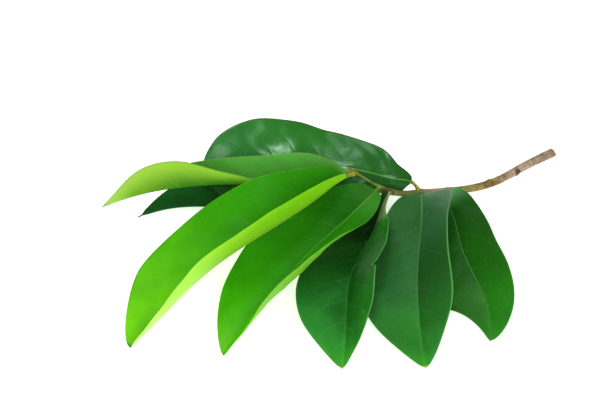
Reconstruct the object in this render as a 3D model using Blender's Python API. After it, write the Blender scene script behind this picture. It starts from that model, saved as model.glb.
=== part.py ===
# A cut sprig of soursop: one woody twig and its eight folded leaves, lying on a surface.
# Run it with: blender --background --python part.py, or from Blender's text editor.
# Lengths are metres, +X runs along the twig to its cut end, +Y away from the leaf fan, +Z up.
# The origin is on the surface, under the middle of the sprig's bounding box.

import math

import bmesh
import bpy
import numpy as np

MM = 0.001
UP = np.array([0.0, 0.0, 1.0])

# The routes below are laid out round a point of their own. This is where the sprig's middle lies in them.
LAYOUT_CENTRE = np.array([5.5, 5.1, 0.0]) * MM

# Twig: centreline in millimetres from the cut end to the shoot tip, and its radius at each point
TWIG_ROUTE = [
    (112.3, 69.3, 1.6),
    (97.0, 59.0, 2.2),
    (79.8, 47.2, 2.6),
    (60.0, 40.6, 4.2),
    (46.0, 37.5, 6.2),
    (33.0, 34.6, 9.4),
    (23.0, 37.0, 13.3),
    (11.8, 39.3, 20.7),
]
TWIG_RADIUS = [2.1, 1.95, 1.8, 1.65, 1.55, 1.45, 0.9, 0.75]
TWIG_RINGS = 76
TWIG_SIDES = 14
TWIG_SAMPLES = 900
TWIG_COLOUR = (0.27, 0.18, 0.10, 1)
CUT_SLANT = 14.0
NODE_SWELLING = 0.42 * MM
NODE_REACH = 2.0 * MM
NODE_BACK_SHARE = 0.35
BUD_RADIUS = 1.25 * MM
BUD_LENGTH = 4.2 * MM
BUD_FATTEST = 0.56
BUD_TIP_SHARE = 0.03

# Leaf scars on the bare wood: millimetres from the cut end, the way they face in degrees, and height
LEAF_SCARS = [
    dict(place=20.6, facing=250.0, height=0.55),
    dict(place=34.5, facing=40.0, height=0.45),
]
SCAR_REACH = 1.3 * MM

# Leaf sections
BLADE_THICKNESS = 0.8 * MM
MARGIN_THICKNESS = 0.64 * MM
RIB_HALF_WIDTH = 1.3 * MM
RIB_DEPTH = 0.9 * MM
PETIOLE_RADIUS = 0.9 * MM
PETIOLE_START_RADIUS = 1.0 * MM
TIP_RADIUS = 0.42 * MM
SMALLEST_HALF_WIDTH = 0.35 * MM
ROUND_BELOW = 0.6 * MM
FLAT_ABOVE = 3.0 * MM
CONTACT_GAP = 0.4 * MM
PETIOLE_STATIONS = 6
BLADE_STATIONS = 26
COLUMNS = (0.3, 0.55, 0.8, 1.0)
LEAST_MITRE = 0.42
RIM_ANGLE = math.radians(9)
BLADE_BLEND = 0.05

# Each leaf: its spine from the twig to the tip and its widths in millimetres, then angles in degrees.
# left and right are how far each half is raised above level at the midrib, from base to tip.
# curl_left and curl_right are the extra angle that a half gains between midrib and margin.
# left_share and right_share widen or narrow a half. widest, base and point shape the outline.
LEAVES = {
    "leaf_1_right": dict(
        spine=[
            (58.4, 40.3, 4.4), (58, 34, 7.5), (60, 17, 9.5), (62.2, 0, 8.5), (66, -12, 6.5),
            (70.8, -25, 3.5), (71.6, -46, 0.3),
        ],
        petiole=5.0, half_width=17.5, widest=0.62, base=0.55, point=0.65,
        left=(60, 28, 38, 42, 20), right=(0, -10, -14, -10, 45),
        left_share=(1.0, 0.99, 0.97, 0.96, 0.97, 0.98, 1.0),
        right_share=(1.0, 1.0, 1.0, 1.0, 1.0, 1.0, 1.08, 1.11, 0.84, 0.7),
        colour=(0.022, 0.115, 0.010, 1),
    ),
    "leaf_2_front": dict(
        spine=[
            (46, 37.2, 6.6), (45.6, 30, 11), (44.5, 13, 13.5), (42.5, -3.6, 13), (41.2, -17.3, 10.5),
            (40.8, -29, 7.5), (41.3, -43.2, 3.5), (43, -60.6, 0.3),
        ],
        petiole=4.0, half_width=24.0, widest=0.66, base=0.5, point=0.75,
        left=(0, 62, 60, 58, 50, 34), right=(4, -8, -16, -10, 12, 24),
        left_share=(1.55, 1.26, 1.0, 0.96, 0.99, 1.01, 1.0, 0.91, 0.78, 0.75),
        colour=(0.022, 0.115, 0.020, 1),
    ),
    "leaf_3_front_left": dict(
        spine=[
            (31.4, 34.9, 9.9), (30, 30.5, 10.3), (27.6, 22.5, 10), (24, 11.8, 9.5), (18.4, 0.5, 8.5),
            (13.3, -10.6, 7.5), (10.5, -22.2, 6), (9.6, -34.7, 4), (9, -46.9, 2), (7.5, -60.9, 0.3),
        ],
        petiole=6.0, half_width=24.0, widest=0.62, base=0.9, point=0.75,
        left=(78, 66, 48, 61, 58, 58), right=(-15, -18, -12, 12, 16, 18),
        left_share=(0.5, 0.62, 0.84, 0.94, 1.0, 1.0, 1.0, 0.95, 0.85, 0.86),
        right_share=(1.0, 1.0, 1.0, 0.97, 0.9, 0.91, 0.97, 1.02, 1.04, 1.0),
        colour=(0.022, 0.130, 0.012, 1),
    ),
    "leaf_4_left": dict(
        spine=[
            (26.6, 36.0, 11.7), (22.6, 28.8, 14), (13.5, 16, 15), (2.8, 3.5, 14.5), (-8.4, -8.9, 13),
            (-17.9, -20.4, 10), (-28, -31.3, 6.5), (-35.9, -42, 3), (-43.2, -53.9, 0.3),
        ],
        petiole=5.0, half_width=27.0, widest=0.62, base=0.75, point=0.75,
        left=(-5, 30, 35, 40, 44), right=(36, 14, 2, 0, 5), curl_left=(0, 12, 44, 46, 30),
        left_share=(0.45, 0.68, 0.92, 1.0, 0.98, 0.92, 0.84, 0.75, 0.66),
        right_share=(1.0, 1.0, 1.0, 1.0, 0.97, 0.93, 0.86, 0.78, 0.72),
        colour=(0.038, 0.240, 0.008, 1),
    ),
    "leaf_5_left": dict(
        spine=[
            (15.4, 38.2, 18.2), (9.9, 33.4, 20.8), (-1.4, 21.2, 22), (-15.8, 7.6, 21.5), (-29.9, -2.5, 19),
            (-45.5, -13.4, 15), (-58.4, -23.9, 10), (-71, -36.8, 4.5), (-83.5, -49.6, 0.3),
        ],
        petiole=6.0, half_width=28.2, widest=0.66, base=0.62, point=0.65,
        left=(64, 72, 66, 69, 64), right=(55, 38, 10, -2, 5),
        right_share=(1.02, 1.02, 1.02, 1.0, 1.0, 1.0, 1.02, 0.94, 0.74),
        colour=(0.090, 0.400, 0.006, 1),
    ),
    "leaf_6_tip": dict(
        spine=[
            (12.8, 38.8, 19.6), (8.2, 37.2, 17.8), (-5.9, 34.8, 17.0), (-24.4, 35.1, 15.0), (-43, 36.6, 13.5),
            (-61.7, 36.9, 11.5), (-80.3, 35.0, 9.4), (-92, 32.6, 7.2), (-102.7, 29.3, 4.9),
        ],
        petiole=3.0, half_width=19.0, widest=0.6, base=0.5, point=0.75, rib_spread=1.8,
        left=(66, 50, 66, 92, 74), right=(50, 58, 56, 44, 10),
        left_share=(1.0, 1.0, 1.0, 1.0, 1.0, 1.0, 1.04, 1.12, 1.1),
        right_share=(2.3, 1.42, 1.0, 0.83, 0.74, 0.64, 0.57, 0.55, 0.55, 0.57, 0.6),
        colour=(0.230, 0.500, 0.030, 1),
    ),
    "leaf_7_back": dict(
        spine=[
            (45.6, 37.4, 6.6), (40.6, 38.9, 12.5), (34, 37.8, 15), (26.5, 39.2, 16), (16.4, 43.5, 15.2),
            (-1.2, 46.4, 15.5), (-19.9, 47.4, 16.5), (-38.7, 46.9, 15), (-56.3, 45.6, 12),
        ],
        petiole=8.0, half_width=22.5, widest=0.72, base=0.6, point=0.6,
        left=(-80, -78, -42, -26, -25, -25, -25, -24, -20), right=(40, 22, 14, 30, 45),
        left_share=(0.6, 0.6, 0.75, 0.95, 1.0, 1.0, 1.0, 1.0, 1.0),
        right_share=(1.0, 0.9, 0.93, 0.98, 1.01, 1.0, 0.98, 0.95, 1.02),
        colour=(0.024, 0.150, 0.022, 1),
    ),
    "leaf_8_under": dict(
        spine=[
            (29.4, 35.2, 10.0), (22.3, 38.4, 5), (3.6, 42.5, 2.4), (-20.1, 44.6, 1.0), (-40.4, 44.4, 0.38),
            (-61.1, 41.3, 0.3), (-74.8, 35.2, 0.3), (-86, 27.3, 0.3),
        ],
        petiole=6.0, half_width=15.5, widest=0.5, base=0.8, point=1.0,
        left=(3, 3, 6, 14, 25), right=(3, 3, 3, 3, 0),
        left_share=(1.0, 0.95, 0.92, 0.92, 0.95),
        colour=(0.008, 0.070, 0.006, 1),
    ),
}


def cubic(knots, values, at):
    """Natural cubic through values at the knots, read at the places in at."""
    knots = np.asarray(knots, float)
    values = np.asarray(values, float)
    at = np.atleast_1d(np.asarray(at, float))
    count = len(knots)
    step = np.diff(knots)
    system = np.eye(count)
    rhs = np.zeros((count,) + values.shape[1:])
    for i in range(1, count - 1):
        system[i, i - 1 : i + 2] = step[i - 1], 2 * (step[i - 1] + step[i]), step[i]
        rhs[i] = 6 * ((values[i + 1] - values[i]) / step[i] - (values[i] - values[i - 1]) / step[i - 1])
    bend = np.linalg.solve(system, rhs)
    cell = np.clip(np.searchsorted(knots, at, side="right") - 1, 0, count - 2)
    width = step[cell]
    a = (knots[cell + 1] - at) / width
    b = 1 - a
    if values.ndim > 1:
        a, b, width = a[:, None], b[:, None], width[:, None]
    straight = a * values[cell] + b * values[cell + 1]
    return straight + ((a**3 - a) * bend[cell] + (b**3 - b) * bend[cell + 1]) * width**2 / 6


def along(values, t):
    """A value that changes smoothly along the blade, from a few spaced evenly from base to tip."""
    if len(values) == 1:
        return np.full(len(np.atleast_1d(t)), float(values[0]))
    return cubic(np.linspace(0, 1, len(values)), values, t)


def spine_of(points):
    """A function of distance along the smooth curve through points in millimetres, and its length."""
    points = np.asarray(points, float) * MM
    chord = np.concatenate([[0], np.cumsum(np.linalg.norm(np.diff(points, axis=0), axis=1))])
    curve = cubic(chord, points, np.linspace(0, chord[-1], 800))
    length = np.concatenate([[0], np.cumsum(np.linalg.norm(np.diff(curve, axis=0), axis=1))])

    def at(distance):
        return np.stack([np.interp(distance, length, curve[:, axis]) for axis in range(3)], axis=-1)

    return at, length[-1]


def unit(vectors):
    return vectors / np.linalg.norm(vectors, axis=-1, keepdims=True)


def ease(low, high, value):
    """0 below low, 1 above high and a smooth rise between them."""
    share = np.clip((value - low) / (high - low), 0, 1)
    return share * share * (3 - 2 * share)


def frames(at, distance):
    """Centres of a spine, with the directions ahead, upward and to the right there."""
    ahead = unit(at(distance + 0.5 * MM) - at(distance - 0.5 * MM))
    normal = unit(UP - ahead * (ahead @ UP)[:, None])
    return at(distance), ahead, normal, np.cross(ahead, normal)


def half_width(leaf, t):
    """Half the blade's width: rounded at the base, drawn out to a point at the tip."""
    t = np.clip(t, 0, 1)
    widest = leaf["widest"]
    rising = np.sin(0.5 * math.pi * np.clip(t / widest, 0, 1)) ** leaf["base"]
    falling = np.cos(0.5 * math.pi * np.clip((t - widest) / (1 - widest), 0, 1)) ** leaf["point"]
    return np.maximum(leaf["half_width"] * MM * np.where(t < widest, rising, falling), SMALLEST_HALF_WIDTH)


def leaf_surface(leaf, t, v):
    """The blade's middle surface at t from base to tip and v from -1, the left margin, to 1, the right."""
    at, length = spine_of(leaf["spine"])
    petiole = leaf["petiole"] * MM
    centre, ahead, normal, right = frames(at, petiole + t * (length - petiole))
    half = half_width(leaf, t)
    v = np.broadcast_to(v, (len(t), np.shape(v)[-1]))
    reach = abs(v)
    places = np.empty(v.shape + (3,))
    for side, name in ((-1, "left"), (1, "right")):
        fold = np.radians(along(leaf[name], t))[:, None]
        curl = np.radians(along(leaf.get("curl_" + name, (0,)), t))[:, None]
        curl = np.where(abs(curl) < 1e-4, 1e-4, curl)
        share = along(leaf.get(name + "_share", (1.0,)), t)
        out = (np.sin(fold + curl * reach) - np.sin(fold)) / curl
        rise = (np.cos(fold) - np.cos(fold + curl * reach)) / curl
        step = side * out[..., None] * right[:, None] + rise[..., None] * normal[:, None]
        here = v < 0 if side < 0 else v >= 0
        places[here] = (centre[:, None] + (half * share)[:, None, None] * step)[here]
    return places


def leaf_normals(leaf, t, v):
    """Normals of the blade's upper side, mitred at the midrib so that both halves keep their thickness."""
    small = 1e-3
    v = np.array(np.broadcast_to(v, (len(t), np.shape(v)[-1])))

    def one_side(inner):
        across = leaf_surface(leaf, t, inner + small) - leaf_surface(leaf, t, inner - small)
        low, high = np.clip(t - small, 0, 1), np.clip(t + small, 0, 1)
        ahead = leaf_surface(leaf, high, inner) - leaf_surface(leaf, low, inner)
        return unit(np.cross(across, ahead))

    left = one_side(np.minimum(v - 2 * small, -small))
    right = one_side(np.maximum(v + 2 * small, small))
    joined = unit(left + right)
    lean = np.clip((joined * right).sum(axis=-1, keepdims=True), LEAST_MITRE, 1)
    normals = np.where((v < 0)[..., None], left, right)
    return np.where((abs(v) < small)[..., None], joined / lean, normals)


def plain_radius(distance, length):
    """The twig's radius without its swellings, at distances from the cut end."""
    chord = np.linalg.norm(np.diff(np.array(TWIG_ROUTE), axis=0), axis=1)
    knots = np.concatenate([[0], np.cumsum(chord)])
    return np.interp(distance, knots * length / knots[-1], np.array(TWIG_RADIUS) * MM)


def twig_nodes():
    """Where each leaf leaves the twig: distance from the cut end, and the way its petiole points."""
    at, length = spine_of(TWIG_ROUTE)
    fine = np.linspace(0, length, TWIG_SAMPLES)
    line = at(fine)
    nodes = []
    for leaf in LEAVES.values():
        start = np.array(leaf["spine"][0]) * MM
        nearest = np.argmin(np.linalg.norm(line - start, axis=1))
        toward = np.array(leaf["spine"][1]) * MM - line[nearest]
        nodes.append((fine[nearest], unit(toward)))
    return nodes


def twig_size(distance, outward, nodes):
    """Distance from the twig's centreline to its skin, with the leaf nodes, scars and shoot bud."""
    length = spine_of(TWIG_ROUTE)[1]
    size = plain_radius(distance, length)
    for place, toward in nodes:
        facing = NODE_BACK_SHARE + (1 - NODE_BACK_SHARE) * np.clip(outward @ toward, 0, 1) ** 2
        size = size + NODE_SWELLING * np.exp(-(((distance - place) / NODE_REACH) ** 2)) * facing
    for scar in LEAF_SCARS:
        angle = math.radians(scar["facing"])
        facing = np.clip(outward @ np.array([0.0, math.cos(angle), math.sin(angle)]), 0, 1) ** 3
        near = np.exp(-(((distance - scar["place"] * MM) / SCAR_REACH) ** 2))
        size = size + scar["height"] * MM * near * facing
    back = np.clip((length - distance) / BUD_LENGTH, 0, 1)
    bud = BUD_RADIUS * np.sqrt(np.clip(1 - ((back - BUD_FATTEST) / BUD_FATTEST) ** 2, BUD_TIP_SHARE, 1))
    covered = np.where(back > BUD_FATTEST, np.maximum(bud, size), bud)
    return np.where(length - distance < BUD_LENGTH, covered, size)


def clear_of_twig(points, nodes):
    """Distance from each point to the twig's skin."""
    at, length = spine_of(TWIG_ROUTE)
    fine = np.linspace(0, length, TWIG_SAMPLES)
    apart = points[:, None] - at(fine)[None]
    gap = np.linalg.norm(apart, axis=2) + 1e-9
    rows = np.arange(len(points))
    nearest = gap.argmin(axis=1)
    outward = apart[rows, nearest] / gap[rows, nearest][:, None]
    return gap[rows, nearest] - twig_size(fine[nearest], outward, nodes)


def lofted(name, rings, leans_left, material, origin):
    """A closed solid through rings of points, each face cut into triangles, with a fan over each end."""
    count, ring = rings.shape[:2]
    faces = []
    for i in range(count - 1):
        for j in range(ring):
            a, b = i * ring + j, i * ring + (j + 1) % ring
            if leans_left(j):
                faces += [(a, b, b + ring), (a, b + ring, a + ring)]
            else:
                faces += [(a, b, a + ring), (b, b + ring, a + ring)]
    ends = [0, count - 1]
    places = np.concatenate([rings.reshape(-1, 3), rings[ends].mean(axis=1)])
    for k, end in enumerate(ends):
        faces += [(end * ring + j, end * ring + (j + 1) % ring, count * ring + k) for j in range(ring)]
    mesh = bpy.data.meshes.new(name)
    mesh.from_pydata([tuple(place) for place in places - origin], [], faces)
    shape = bmesh.new()
    shape.from_mesh(mesh)
    bmesh.ops.recalc_face_normals(shape, faces=shape.faces)
    shape.to_mesh(mesh)
    shape.free()
    mesh.shade_smooth()
    mesh.set_sharp_from_angle(angle=math.radians(50))
    mesh.materials.append(material)
    made = bpy.data.objects.new(name, mesh)
    made.location = origin - LAYOUT_CENTRE
    bpy.context.scene.collection.objects.link(made)
    return made


def blade_rings(leaf, t):
    """A ring of points at each t: the upper side from left margin to right, then the underside back."""
    half = half_width(leaf, t)
    rib = np.minimum(leaf.get("rib_spread", 1.0) * RIB_HALF_WIDTH / half, 0.2)
    outward = np.concatenate([rib[:, None], np.tile(COLUMNS, (len(t), 1))], axis=1)
    v = np.concatenate([-outward[:, ::-1], np.zeros((len(t), 1)), outward], axis=1)
    middle = leaf_surface(leaf, t, v)
    normals = leaf_normals(leaf, t, v)
    thick = BLADE_THICKNESS + (MARGIN_THICKNESS - BLADE_THICKNESS) * ease(0.5, 1.0, abs(v))
    upper = middle + normals * thick[..., None] / 2
    lower = middle - normals * thick[..., None] / 2
    keel = v.shape[1] // 2
    depth = RIB_DEPTH * (1 - 0.8 * t) * np.minimum(1, half / (2.5 * MM))
    lower[:, keel] -= unit(normals[:, keel]) * depth[:, None]
    return np.concatenate([upper, lower[:, ::-1]], axis=1)


def leaf_solid(name, leaf, nodes, material):
    """One leaf: a round petiole whose end fits against the twig, running out into a ribbed, folded blade."""
    at, length = spine_of(leaf["spine"])
    petiole = leaf["petiole"] * MM
    u = np.linspace(0, 1, BLADE_STATIONS + 1)[1:]
    t = 0.55 * u + 0.225 * (1 - np.cos(math.pi * u))
    blade = blade_rings(leaf, t)
    trial = np.linspace(0, petiole, 121)
    start = trial[np.argmax(clear_of_twig(at(trial), nodes) > CONTACT_GAP)]
    stalk = np.linspace(start, petiole, PETIOLE_STATIONS)
    centre, ahead, normal, right = frames(at, np.concatenate([stalk, petiole + t * (length - petiole)]))
    ring = blade.shape[1]
    upper_half = np.linspace(math.pi - RIM_ANGLE, RIM_ANGLE, ring // 2)
    angle = np.concatenate([upper_half, -upper_half[::-1]])
    radius = np.concatenate([
        np.linspace(PETIOLE_START_RADIUS, PETIOLE_RADIUS, PETIOLE_STATIONS),
        PETIOLE_RADIUS + (TIP_RADIUS - PETIOLE_RADIUS) * ease(0.3, 0.9, t),
    ])
    outward = np.cos(angle)[:, None] * right[:, None] + np.sin(angle)[:, None] * normal[:, None]
    rings = centre[:, None] + radius[:, None, None] * outward
    shares = [along(leaf.get(side, (1.0,)), t) for side in ("left_share", "right_share")]
    narrower = half_width(leaf, t) * np.minimum(*shares)
    blend = (ease(0.0, BLADE_BLEND, t) * ease(ROUND_BELOW, FLAT_ABOVE, narrower))[:, None, None]
    rings[PETIOLE_STATIONS:] += (blade - rings[PETIOLE_STATIONS:]) * blend
    slide = np.zeros(ring)
    for _ in range(8):
        slide += CONTACT_GAP - clear_of_twig(rings[0] + ahead[0] * slide[:, None], nodes)
    for i in range(PETIOLE_STATIONS):
        rings[i] += ahead[i] * (slide * (1 - i / PETIOLE_STATIONS) ** 1.5)[:, None]
    rings[:, :, 2] = np.maximum(rings[:, :, 2], 0)

    def leans_left(j):
        upper = j < ring // 2
        column = j if upper else ring - 2 - j
        return (column < ring // 4) == upper

    return lofted(name, rings, leans_left, material, at(np.zeros(1))[0])


def twig_solid(nodes, material):
    """The woody twig, from its slanted cut to the bud between the last two leaves."""
    at, length = spine_of(TWIG_ROUTE)
    distance = np.linspace(0, length - 0.2 * MM, TWIG_RINGS)
    centre, ahead, normal, right = frames(at, distance)
    angle = np.arange(TWIG_SIDES) * 2 * math.pi / TWIG_SIDES
    rings = np.empty((TWIG_RINGS, TWIG_SIDES, 3))
    for i in range(TWIG_RINGS):
        outward = np.cos(angle)[:, None] * right[i] + np.sin(angle)[:, None] * normal[i]
        size = twig_size(np.full(TWIG_SIDES, distance[i]), outward, nodes)
        rings[i] = centre[i] + outward * size[:, None]
    height = (rings[0] - centre[0]) @ normal[0]
    rings[0] += ahead[0] * (height * math.tan(math.radians(CUT_SLANT)))[:, None]
    rings[:, :, 2] = np.maximum(rings[:, :, 2], 0)
    return lofted("twig", rings, lambda j: True, material, LAYOUT_CENTRE)


def plain_material(name, colour, roughness):
    material = bpy.data.materials.new(name)
    material.use_nodes = True
    shader = material.node_tree.nodes["Principled BSDF"]
    shader.inputs["Base Color"].default_value = colour
    shader.inputs["Roughness"].default_value = roughness
    return material


def main():
    for old in list(bpy.data.objects):
        bpy.data.objects.remove(old)
    nodes = twig_nodes()
    twig = twig_solid(nodes, plain_material("twig_bark", TWIG_COLOUR, 0.8))
    for name, leaf in LEAVES.items():
        made = leaf_solid(name, leaf, nodes, plain_material(name + "_green", leaf["colour"], 0.35))
        made.parent = twig
        made.location -= twig.location


if __name__ == "__main__":
    main()
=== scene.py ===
import math

import bmesh
import bpy
import numpy as np
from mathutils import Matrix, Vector, noise


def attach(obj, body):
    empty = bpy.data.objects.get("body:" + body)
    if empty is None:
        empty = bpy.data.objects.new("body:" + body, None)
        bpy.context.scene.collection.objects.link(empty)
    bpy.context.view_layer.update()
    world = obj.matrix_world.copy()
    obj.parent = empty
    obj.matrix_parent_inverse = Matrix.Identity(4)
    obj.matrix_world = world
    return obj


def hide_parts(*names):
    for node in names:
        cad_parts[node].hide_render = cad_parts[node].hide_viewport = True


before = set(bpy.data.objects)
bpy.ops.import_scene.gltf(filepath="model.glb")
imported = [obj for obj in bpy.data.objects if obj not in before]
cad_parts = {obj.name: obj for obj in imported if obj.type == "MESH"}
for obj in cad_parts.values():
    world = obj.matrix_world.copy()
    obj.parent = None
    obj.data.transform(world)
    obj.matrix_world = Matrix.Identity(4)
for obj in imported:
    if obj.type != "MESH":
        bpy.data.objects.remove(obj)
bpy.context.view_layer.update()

print("soursop sprig: frame loaded")

mm = 0.001
lowest = 0.02 * mm  # how far above the surface everything stays
layoutCentre = np.array([5.5, 5.1, 0.0]) * mm  # the sprig's middle, as the routes below are laid out
upward = np.array([0.0, 0.0, 1.0])
scene = bpy.context.scene
scene.view_settings.view_transform = "Standard"  # keeps the greens as vivid as they are set


def seen(red, green, blue):
    # a colour on the usual 0 to 255 scale, as the linear colour that shaders take
    linear = [((c / 255 + 0.055) / 1.055) ** 2.4 if c > 10 else c / 255 / 12.92 for c in (red, green, blue)]
    return (*linear, 1.0)


# Smooth curves


def naturalCubic(knots, values, at):
    # a natural cubic through values at the knots, read at the places in at
    knots, values = np.asarray(knots, float), np.asarray(values, float)
    at = np.atleast_1d(np.asarray(at, float))
    count, step = len(knots), np.diff(knots)
    system, rhs = np.eye(count), np.zeros((count,) + values.shape[1:])
    for i in range(1, count - 1):
        system[i, i - 1:i + 2] = step[i - 1], 2 * (step[i - 1] + step[i]), step[i]
        rhs[i] = 6 * ((values[i + 1] - values[i]) / step[i] - (values[i] - values[i - 1]) / step[i - 1])
    bend = np.linalg.solve(system, rhs)
    cell = np.clip(np.searchsorted(knots, at, side="right") - 1, 0, count - 2)
    width = step[cell]
    a = (knots[cell + 1] - at) / width
    b = 1 - a
    if values.ndim > 1:
        a, b, width = a[:, None], b[:, None], width[:, None]
    straight = a * values[cell] + b * values[cell + 1]
    return straight + ((a**3 - a) * bend[cell] + (b**3 - b) * bend[cell + 1]) * width**2 / 6


def along(values, t):
    # a value that changes smoothly along the blade, from a few spaced evenly from base to tip
    if len(values) == 1:
        return np.full(len(t), float(values[0]))
    return naturalCubic(np.linspace(0, 1, len(values)), values, t)


def curveThrough(points):
    # a function of distance along the smooth curve through points in millimetres, and its length
    points = np.asarray(points, float) * mm
    chord = np.concatenate([[0], np.cumsum(np.linalg.norm(np.diff(points, axis=0), axis=1))])
    curve = naturalCubic(chord, points, np.linspace(0, chord[-1], 1600))
    run = np.concatenate([[0], np.cumsum(np.linalg.norm(np.diff(curve, axis=0), axis=1))])

    def at(distance):
        inside = np.stack([np.interp(distance, run, curve[:, axis]) for axis in range(3)], axis=-1)
        before = np.minimum(distance, 0)[:, None] * (curve[1] - curve[0]) / run[1]
        return inside + before

    return at, run[-1], chord * run[-1] / chord[-1]


def unit(vectors):
    return vectors / np.linalg.norm(vectors, axis=-1, keepdims=True)


def ease(low, high, value):
    share = np.clip((value - low) / (high - low), 0, 1)
    return share * share * (3 - 2 * share)


def framesOn(at, distance):
    # centres of a curve, with the directions ahead, upward and to the right there
    ahead = unit(at(distance + 0.5 * mm) - at(distance - 0.5 * mm))
    normal = unit(upward - ahead * (ahead @ upward)[:, None])
    return at(distance), ahead, normal, np.cross(ahead, normal)


# Shader helpers


def addNode(tree, kind, **settings):
    node = tree.nodes.new(kind)
    for name, value in settings.items():
        setattr(node, name, value)
    return node


def feed(tree, socket, value):
    # links a socket to another, or sets it to a plain value
    if isinstance(value, bpy.types.NodeSocket):
        tree.links.new(value, socket)
    else:
        socket.default_value = value


def calc(tree, operation, a, b=0.0):
    node = addNode(tree, "ShaderNodeMath", operation=operation)
    feed(tree, node.inputs[0], a)
    feed(tree, node.inputs[1], b)
    return node.outputs[0]


def plus(tree, a, b):
    return calc(tree, "ADD", a, b)


def minus(tree, a, b):
    return calc(tree, "SUBTRACT", a, b)


def times(tree, a, b):
    return calc(tree, "MULTIPLY", a, b)


def over(tree, a, b):
    return calc(tree, "DIVIDE", a, b)


def remap(tree, value, fromLow, fromHigh, toLow=0.0, toHigh=1.0, smoothly=True):
    node = addNode(tree, "ShaderNodeMapRange", interpolation_type="SMOOTHSTEP" if smoothly else "LINEAR")
    for socket, number in zip(node.inputs[:5], (value, fromLow, fromHigh, toLow, toHigh)):
        feed(tree, socket, number)
    return node.outputs[0]


def mixColour(tree, share, a, b):
    node = addNode(tree, "ShaderNodeMix", data_type="RGBA", blend_type="MIX")
    feed(tree, node.inputs[0], share)
    feed(tree, node.inputs[6], a)
    feed(tree, node.inputs[7], b)
    return node.outputs[2]


def noiseOn(tree, vector, scale, detail=2.0, roughness=0.5):
    node = addNode(tree, "ShaderNodeTexNoise")
    feed(tree, node.inputs["Vector"], vector)
    node.inputs["Scale"].default_value = scale
    node.inputs["Detail"].default_value = detail
    node.inputs["Roughness"].default_value = roughness
    return node.outputs[0]


def objectPoint(tree):
    return addNode(tree, "ShaderNodeTexCoord").outputs["Object"]


def addBump(tree, shader, height, strength, depth):
    bump = addNode(tree, "ShaderNodeBump")
    bump.inputs["Strength"].default_value = strength
    bump.inputs["Distance"].default_value = depth
    feed(tree, bump.inputs["Height"], height)
    feed(tree, shader.inputs["Normal"], bump.outputs[0])


def newGroup(name, inputs, outputs):
    # a shader node group: inputs are (name, kind, default), outputs (name, kind)
    tree = bpy.data.node_groups.new(name, "ShaderNodeTree")
    for label, kind, default in inputs:
        made = tree.interface.new_socket(name=label, in_out="INPUT", socket_type=kind)
        made.default_value = default
    for label, kind in outputs:
        tree.interface.new_socket(name=label, in_out="OUTPUT", socket_type=kind)
    return tree, addNode(tree, "NodeGroupInput").outputs, addNode(tree, "NodeGroupOutput").inputs


def newMaterial(name):
    material = bpy.data.materials.new(name)
    material.use_nodes = True
    tree = material.node_tree
    return material, tree, tree.nodes["Principled BSDF"]


def placeGroup(tree, group, values):
    node = addNode(tree, "ShaderNodeGroup", node_tree=group)
    for label, value in values.items():
        feed(tree, node.inputs[label], value)
    return node.outputs


# Leaf markings: midrib, side veins, fine net and margin, in the leaf's own coordinates.
# The leaf map holds the place along the blade, 0 at its base and 1 at its tip, and across it, -1 to 1.

veining = dict(
    ribNarrowing=(0.8, 0.45),  # from where on the midrib is thinnest, and its share of the width there
    ribEdge=(0.5, 1.3),  # its soft edge, in shares of its half width
    shift=0.14,  # how far the veins of each half are moved along, in shares of a gap
    wanderScale=60.0, wander=0.035,  # how veins stray, in shares of the blade's length
    thickness=(0.00036, 0.00018), edge=(0.3, 1.6),  # metres, near the midrib and near the margin
    endAt=(0.75, 0.97), netEdge=(0.02, 0.16), marginEdge=(0.3, 1.1),
    halfBlend=0.02,  # how far across the midrib one half's colour passes into the other's
    height=-0.35, netHeight=-0.22)  # bump heights
number = "NodeSocketFloat"


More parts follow.
